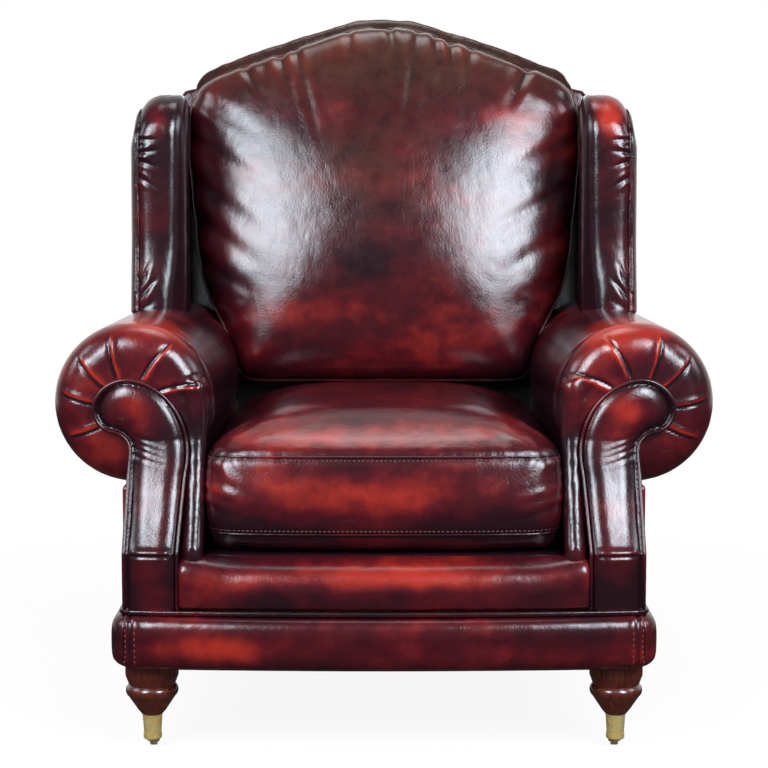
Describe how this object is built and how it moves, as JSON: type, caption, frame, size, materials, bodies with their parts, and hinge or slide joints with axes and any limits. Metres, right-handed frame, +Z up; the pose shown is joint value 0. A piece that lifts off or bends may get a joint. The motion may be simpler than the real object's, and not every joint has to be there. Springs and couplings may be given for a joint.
{
  "type": "wing armchair",
  "caption": "Leather wing armchair with scrolled arms, a loose seat cushion, a camel-backed cushion and turned front legs on brass cup castors.",
  "frame": {"origin": "middle of the footprint of the whole chair, on the floor", "axes": "front of the chair faces -Y, +X is to the right of someone facing the chair, +Z is up"},
  "size_m": [0.9278, 0.9, 1.0599],
  "materials": {
    "oxblood_leather": "antiqued, hand-rubbed and glossy",
    "piping_leather": "antiqued and glossy",
    "mahogany": "polished red-brown",
    "beech_frame": "plain sawn",
    "plywood": "plain",
    "aged_brass": "aged, satin",
    "steel": "plain drawn wire and pins",
    "jute_webbing": "woven jute",
    "hessian": "coarse woven",
    "black_cloth": "thin woven cloth"
  },
  "bodies": {
    "chair": {"arm_cover_left": "oxblood_leather", "arm_cover_right": "oxblood_leather", "arm_facing_left": "oxblood_leather", "arm_facing_right": "oxblood_leather", "arm_post_left": "beech_frame", "arm_post_right": "beech_frame", "arm_rail_left": "beech_frame", "arm_rail_right": "beech_frame", "back_cushion": "oxblood_leather", "back_cushion_piping": "piping_leather", "back_post_left": "beech_frame", "back_post_right": "beech_frame", "back_tack_rail": "beech_frame", "back_webbing": "jute_webbing", "base_band_front": "oxblood_leather", "base_band_left": "oxblood_leather", "base_band_rear": "oxblood_leather", "base_band_right": "oxblood_leather", "base_piping": "piping_leather", "castor_cup_left": "aged_brass", "castor_cup_right": "aged_brass", "corner_blocks": "beech_frame", "crest_rail": "beech_frame", "dust_cover": "black_cloth", "facing_piping_left": "piping_leather", "facing_piping_right": "piping_leather", "front_leg_left": "mahogany", "front_leg_right": "mahogany", "front_seat_rail": "beech_frame", "inside_back": "oxblood_leather", "inside_wing_left": "oxblood_leather", "inside_wing_right": "oxblood_leather", "leg_bolts": "steel", "outside_arm_left": "oxblood_leather", "outside_arm_right": "oxblood_leather", "outside_back": "oxblood_leather", "outside_wing_left": "oxblood_leather", "outside_wing_right": "oxblood_leather", "platform_pad": "oxblood_leather", "rear_leg_left": "mahogany", "rear_leg_right": "mahogany", "rear_seat_rail": "beech_frame", "seat_hessian": "hessian", "seat_lip": "oxblood_leather", "seat_rail_left": "beech_frame", "seat_rail_right": "beech_frame", "seat_springs": "steel", "spring_clips": "steel", "wing_frame_left": "plywood", "wing_frame_right": "plywood", "wing_piping_left": "piping_leather", "wing_piping_right": "piping_leather"},
    "seat_cushion": {"seat_cushion": "oxblood_leather"},
    "castor_horn_left": {"castor_horn_left": "aged_brass", "castor_axle_left": "steel"},
    "castor_horn_right": {"castor_horn_right": "aged_brass", "castor_axle_right": "steel"},
    "castor_wheel_left": {"castor_wheel_left": "aged_brass"},
    "castor_wheel_right": {"castor_wheel_right": "aged_brass"}
  },
  "joints": [
    {"name": "seat_cushion_slide", "type": "slide", "parent": "chair", "child": "seat_cushion", "axis": [0, -1, 0], "range_m": [0, 0.28]},
    {"name": "castor_swivel_left", "type": "hinge", "parent": "chair", "child": "castor_horn_left", "pos_m": [-0.3225, -0.37, 0.02], "axis": [0, 0, 1], "continuous": true},
    {"name": "castor_swivel_right", "type": "hinge", "parent": "chair", "child": "castor_horn_right", "pos_m": [0.3225, -0.37, 0.02], "axis": [0, 0, 1], "continuous": true},
    {"name": "castor_roll_left", "type": "hinge", "parent": "castor_horn_left", "child": "castor_wheel_left", "pos_m": [-0.3225, -0.357, 0.0095], "axis": [1, 0, 0], "continuous": true},
    {"name": "castor_roll_right", "type": "hinge", "parent": "castor_horn_right", "child": "castor_wheel_right", "pos_m": [0.3225, -0.357, 0.0095], "axis": [1, 0, 0], "continuous": true}
  ]
}
